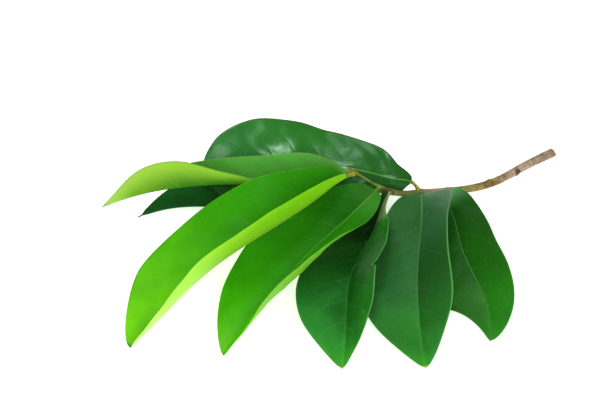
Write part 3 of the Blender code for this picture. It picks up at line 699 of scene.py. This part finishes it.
def skinned(name, rings, mapName, mapAlong, mapAcross, slotOf, materials):
    # a closed body of quads through rings of points, capped by a fan at each end, with its own map.
    # mapAcross has one value more than a ring has points, for the way back to the first.
    count, ring = rings.shape[:2]
    vertices = [tuple(p) for p in rings.reshape(-1, 3)]
    faces, corners, slots = [], [], []
    for i in range(count - 1):
        for j in range(ring):
            k = (j + 1) % ring
            faces.append((i * ring + j, i * ring + k, (i + 1) * ring + k, (i + 1) * ring + j))
            low, high, near, far = mapAcross[j], mapAcross[j + 1], mapAlong[i], mapAlong[i + 1]
            corners += [(near, low), (near, high), (far, high), (far, low)]
            slots.append(slotOf(i, j))
    for end, flip in ((0, True), (count - 1, False)):
        vertices.append(tuple(rings[end].mean(axis=0)))
        for j in range(ring):
            k = (j + 1) % ring
            a, b = (k, j) if flip else (j, k)
            faces.append((end * ring + a, end * ring + b, len(vertices) - 1))
            corners += [(mapAlong[end], mapAcross[j])] * 3
            slots.append(slotOf(-1 if flip else count, j))
    mesh = bpy.data.meshes.new(name)
    mesh.from_pydata(vertices, [], faces)
    layer = mesh.uv_layers.new(name=mapName)
    layer.data.foreach_set("uv", np.array(corners, float).ravel())
    for material in materials:
        mesh.materials.append(material)
    mesh.polygons.foreach_set("material_index", slots)
    work = bmesh.new()
    work.from_mesh(mesh)
    if work.calc_volume(signed=True) < 0:
        bmesh.ops.reverse_faces(work, faces=work.faces)
    work.to_mesh(mesh)
    work.free()
    mesh.shade_smooth()
    made = bpy.data.objects.new(name, mesh)
    scene.collection.objects.link(made)
    return made


# Twig

twig = dict(
    route=[(112.3, 69.3, 1.6), (97, 59, 2.2), (79.8, 47.2, 2.6), (60, 40.6, 4.2), (46, 37.5, 6.2),
           (33, 34.6, 9.4), (23, 37, 13.3), (11.8, 39.3, 20.7)],
    radius=[2.15, 2.0, 1.85, 1.65, 1.5, 1.3, 0.6, 0.5],
    length=113.2,  # millimetres along the centreline
    rings=620, sides=72, cutSlant=14.0, cutRings=6, nodeSwelling=0.42, nodeReach=2.0,
    budRadius=0.86, budLength=3.4,
    # leaf scars and an old bud: place along in millimetres, way round in degrees of the raised part and of
    # the mark (0 is away from the viewer, 90 up), height of the raised part, depth of the mark, its colour
    scars=[dict(place=24.4, facing=250.0, mark=160.0, height=0.55, sunk=0.22, colour=seen(66, 44, 26)),
           dict(place=39.6, facing=40.0, mark=150.0, height=0.45, sunk=0.22, colour=seen(110, 82, 36)),
           dict(place=93.0, facing=226.0, mark=180.0, height=2.4, sunk=0.0, colour=seen(30, 40, 6))],
    scarReach=1.3, markReach=2.3, markShift=0.3, markSize=1.0, markTurn=0.16,
    furrow=0.09, furrowScale=(0.16, 2.6), wrinkle=0.05, wrinkleScale=(1.5, 1.1),  # along and round
    lenticels=70, lenticelHeight=0.11, lenticelLength=(0.35, 0.6), lenticelWidth=(0.12, 0.2), seed=11,
    speckStretch=0.3, speckSize=1.6, darkSpecks=seen(64, 44, 30), paleSpecks=seen(196, 180, 150),
    patchScale=260.0, brownPatches=seen(100, 74, 50), brownShare=0.35,
    rough=(0.62, 0.85), gloss=0.3, bumpStrength=0.6, bumpDepth=0.0001,
    blotchScale=190.0, blotchEdge=(0.48, 0.6), wood=seen(196, 170, 120), woodGrain=seen(150, 118, 76),
    bark=[(0, 158, 140, 116), (0.18, 176, 154, 126), (0.28, 180, 158, 126), (0.34, 156, 134, 76),
          (0.46, 152, 138, 72), (0.52, 152, 138, 104), (0.6, 144, 122, 94), (0.67, 118, 104, 58),
          (0.78, 106, 114, 44), (0.84, 110, 132, 56), (0.95, 116, 134, 50), (1, 142, 144, 48)],
    blotches=[(0, 142, 124, 98), (0.24, 158, 138, 108), (0.3, 140, 120, 84), (0.38, 120, 98, 56),
              (0.5, 164, 152, 96), (0.62, 158, 146, 114), (0.7, 136, 132, 54), (0.8, 80, 72, 30),
              (0.9, 94, 112, 42), (1, 114, 116, 34)])


def twigNodes():
    at, length, _ = curveThrough(twig["route"])
    fine = np.linspace(0, length, 1800)
    line = at(fine)
    nodes = {}
    for name, leaf in leaves.items():
        start = np.array(leaf["spine"][0]) * mm
        nearest = np.argmin(np.linalg.norm(line - start, axis=1))
        nodes[name] = (fine[nearest], unit(np.array(leaf["spine"][1]) * mm - line[nearest]))
    return nodes


def facingTo(outward, degrees):
    # how much each direction round the twig looks that way: 0 is away from the viewer, 90 up
    turn = math.radians(degrees)
    return np.clip(outward @ np.array([0.0, math.cos(turn), math.sin(turn)]), 0, 1)


def twigRings():
    at, length, knots = curveThrough(twig["route"])
    distance = np.linspace(0, length - 0.12 * mm, twig["rings"])
    centre, ahead, normal, right = framesOn(at, distance)
    sides = twig["sides"]
    angle = np.arange(sides) * 2 * math.pi / sides
    outward = np.cos(angle)[:, None] * right[:, None] + np.sin(angle)[:, None] * normal[:, None]
    size = np.repeat(np.interp(distance, knots, np.array(twig["radius"]) * mm)[:, None], sides, axis=1)
    for place, toward in twigNodes().values():
        facing = 0.35 + 0.65 * np.clip(outward @ toward, 0, 1) ** 2
        near = np.exp(-(((distance - place) / (twig["nodeReach"] * mm)) ** 2))
        size += twig["nodeSwelling"] * mm * near[:, None] * facing
    for scar in twig["scars"]:
        apart = (distance - scar["place"] * mm) / (twig["scarReach"] * mm)
        size += scar["height"] * mm * np.exp(-apart**2)[:, None] * facingTo(outward, scar["facing"]) ** 3
        # the scar itself: a sunk disc with a raised rim
        apart = (distance - scar["place"] * mm + twig["markShift"] * mm)[:, None] / (twig["markSize"] * mm)
        disc = np.hypot(apart, (1 - facingTo(outward, scar["mark"])) / twig["markTurn"])
        rim = 0.45 * np.exp(-((disc - 1.15) / 0.3) ** 2)
        size += scar["sunk"] * mm * (rim - np.exp(-(disc / 0.8) ** 4))
    # the bud that ends the twig
    left = np.clip((length - distance) / (twig["budLength"] * mm), 0, 1)
    bud = twig["budRadius"] * mm * np.sqrt(np.clip(1 - ((left - 0.55) / 0.57) ** 2, 0.02, 1))
    covered = np.where((left > 0.6)[:, None], np.maximum(bud[:, None], size), bud[:, None])
    size = np.where((length - distance < twig["budLength"] * mm)[:, None], covered, size)

    # bark: long shallow furrows and fine cross wrinkles, fainter at the young end, and raised lenticels
    old = ease(0.86, 0.35, distance / length)
    for i in range(len(distance)):
        for j in range(sides):
            run, x, y = distance[i] / mm, math.cos(angle[j]), math.sin(angle[j])
            lengthwise, across = twig["furrowScale"]
            furrow = noise.fractal(Vector((run * lengthwise, x * across, y * across)), 1.0, 2.0, 3)
            lengthwise, across = twig["wrinkleScale"]
            wrinkle = noise.noise(Vector((run * lengthwise, x * across, y * across + 7.0)))
            depth = (twig["furrow"] * furrow + twig["wrinkle"] * wrinkle) * mm
            size[i, j] += depth * (0.35 + 0.65 * old[i])
    dots = np.random.default_rng(twig["seed"])
    for _ in range(twig["lenticels"]):
        place, turn = dots.uniform(0.02, 0.8) * length, dots.uniform(0, 2 * math.pi)
        gap = np.abs((angle - turn + math.pi) % (2 * math.pi) - math.pi)
        long, wide = dots.uniform(*twig["lenticelLength"]) * mm, dots.uniform(*twig["lenticelWidth"])
        near = np.exp(-(((distance - place) / long) ** 2))[:, None] * np.exp(-((gap / wide) ** 2))[None]
        size += twig["lenticelHeight"] * mm * near
    rings = centre[:, None] + outward * size[..., None]
    # the cut is slanted: the first rings lean with it
    for i in range(twig["cutRings"]):
        height = (rings[i] - centre[i]) @ normal[i]
        lean = height * math.tan(math.radians(twig["cutSlant"])) * (1 - i / twig["cutRings"])
        rings[i] += ahead[i] * lean[:, None]
    rings[:, :, 2] = np.maximum(rings[:, :, 2], lowest)
    return rings, distance, angle


def barkSkin():
    material, tree, shader = newMaterial("twig_bark")
    place = addNode(tree, "ShaderNodeUVMap", uv_map="bark").outputs[0]
    parts = addNode(tree, "ShaderNodeSeparateXYZ")
    tree.links.new(place, parts.inputs[0])
    run, way = parts.outputs[:2]  # along, 0 at the cut and 1 at the shoot tip, and the way round, 0 to 1
    point = objectPoint(tree)
    patches = noiseOn(tree, point, twig["patchScale"], 4.0, 0.6)
    bark = colourAlong(tree, run, twig["bark"])
    blotches = remap(tree, noiseOn(tree, point, twig["blotchScale"], 3.0), *twig["blotchEdge"])
    bark = mixColour(tree, blotches, bark, colourAlong(tree, run, twig["blotches"]))
    old = remap(tree, run, 0.84, 0.7, 0.2, 1.0)
    browner = times(tree, remap(tree, patches, 0.52, 0.4, 0.0, twig["brownShare"]), old)
    bark = mixColour(tree, browner, bark, twig["brownPatches"])
    for scar in twig["scars"]:
        # how far the mark's middle is, along the twig and round it
        ahead = minus(tree, run, (scar["place"] - twig["markShift"]) / twig["length"])
        ahead = times(tree, ahead, twig["length"] / twig["markReach"])
        around = minus(tree, way, scar["mark"] / 360.0)
        around = times(tree, around, 5.0)
        apart = calc(tree, "SQRT", plus(tree, times(tree, ahead, ahead), times(tree, around, around)))
        bark = mixColour(tree, remap(tree, apart, 0.4, 1.0, 0.9, 0.0), bark, scar["colour"])
    # specks drawn out along the twig
    turn = times(tree, way, 2 * math.pi)
    drawn = addNode(tree, "ShaderNodeCombineXYZ")
    feed(tree, drawn.inputs[0], times(tree, run, twig["length"] * twig["speckStretch"]))
    feed(tree, drawn.inputs[1], times(tree, calc(tree, "COSINE", turn), twig["radius"][1]))
    feed(tree, drawn.inputs[2], times(tree, calc(tree, "SINE", turn), twig["radius"][1]))
    specks = noiseOn(tree, drawn.outputs[0], twig["speckSize"], 3.0, 0.6)
    dark = times(tree, remap(tree, specks, 0.54, 0.66, 0.0, 0.75), old)
    bark = mixColour(tree, dark, bark, twig["darkSpecks"])
    pale = times(tree, remap(tree, specks, 0.38, 0.28, 0.0, 0.6), old)
    bark = mixColour(tree, pale, bark, twig["paleSpecks"])
    feed(tree, shader.inputs["Base Color"], bark)
    feed(tree, shader.inputs["Roughness"], remap(tree, patches, 0.3, 0.7, *twig["rough"]))
    shader.inputs["Specular IOR Level"].default_value = twig["gloss"]
    height = plus(tree, specks, times(tree, patches, 1.5))
    addBump(tree, shader, height, twig["bumpStrength"], twig["bumpDepth"])
    return material


def cutSkin():
    material, tree, shader = newMaterial("twig_cut_wood")
    point = objectPoint(tree)
    grain = noiseOn(tree, point, 1800.0, 3.0)
    wood = mixColour(tree, remap(tree, grain, 0.35, 0.65), twig["wood"], twig["woodGrain"])
    feed(tree, shader.inputs["Base Color"], wood)
    shader.inputs["Roughness"].default_value = 0.8
    return material


rings, distance, angle = twigRings()
reachAlong = distance / distance[-1]
turns = np.append(angle, 2 * math.pi) / (2 * math.pi)
made = skinned("twig_wood", rings - layoutCentre, "bark", reachAlong, turns,
               lambda i, j: 1 if i < 0 else 0, [barkSkin(), cutSkin()])
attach(made, "root")
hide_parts("twig")
print("soursop sprig: twig", len(made.data.polygons), "faces")

for name, own in leaves.items():
    leaf = {**commonLeaf, **own}
    rings, mapAlong, mapAcross, length = leafRings(leaf)
    half = rings.shape[1] // 2
    made = skinned(name + "_blade", rings - layoutCentre, "leaf", mapAlong, mapAcross,
                   lambda i, j: 0 if j < half - 1 or j == 2 * half - 1 else 1,
                   [leafSkin(name, leaf, length, True), leafSkin(name, leaf, length, False)])
    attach(made, "root")
    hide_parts(name)
print("soursop sprig: leaves done")


# Floor, light and camera

studio = dict(
    floorColour=(0.94, 0.94, 0.94, 1.0), floorGlow=0.56, floorReach=4.0,
    world=((0.95, 0.98, 1.0, 1.0), 0.3),
    lamps=[  # name, place in metres, size in metres, power in watts
        ("front_softbox", (0.1, -1.2, 0.95), 1.1, 15.0),
        ("back_softbox", (-0.5, 0.7, 1.1), 0.6, 4.0),
        ("top_softbox", (-0.1, 0.12, 1.2), 0.25, 3.5)],
    lens=85.0, elevation=46.0, away=0.68, target=(-0.0135, 0.0329, 0.0))


def buildStudio():
    mesh = bpy.data.meshes.new("floor")
    corners = [(x * studio["floorReach"], y * studio["floorReach"], 0)
               for x, y in ((-1, -1), (1, -1), (1, 1), (-1, 1))]
    mesh.from_pydata(corners, [], [(0, 1, 2, 3)])
    floor = bpy.data.objects.new("floor", mesh)
    scene.collection.objects.link(floor)
    material, _, shader = newMaterial("floor_white")
    shader.inputs["Base Color"].default_value = studio["floorColour"]
    shader.inputs["Roughness"].default_value = 0.9
    shader.inputs["Specular IOR Level"].default_value = 0.0
    shader.inputs["Emission Color"].default_value = (1, 1, 1, 1)
    shader.inputs["Emission Strength"].default_value = studio["floorGlow"]
    mesh.materials.append(material)
    world = bpy.data.worlds.new("studio")
    world.use_nodes = True
    world.node_tree.nodes["Background"].inputs[0].default_value = studio["world"][0]
    world.node_tree.nodes["Background"].inputs[1].default_value = studio["world"][1]
    scene.world = world
    for name, place, size, power in studio["lamps"]:
        data = bpy.data.lights.new(name, "AREA")
        data.shape = "SQUARE"
        data.size = size
        data.energy = power
        lamp = bpy.data.objects.new(name, data)
        lamp.location = place
        lamp.rotation_euler = (-Vector(place)).to_track_quat("-Z", "Y").to_euler()
        scene.collection.objects.link(lamp)
    data = bpy.data.cameras.new("camera")
    data.lens = studio["lens"]
    camera = bpy.data.objects.new("camera", data)
    tilt = math.radians(studio["elevation"])
    back = Vector((0, -math.cos(tilt), math.sin(tilt)))
    camera.location = Vector(studio["target"]) + back * studio["away"]
    camera.rotation_euler = (math.pi / 2 - tilt, 0, 0)
    scene.collection.objects.link(camera)
    scene.camera = camera


buildStudio()
print("soursop sprig: studio done")
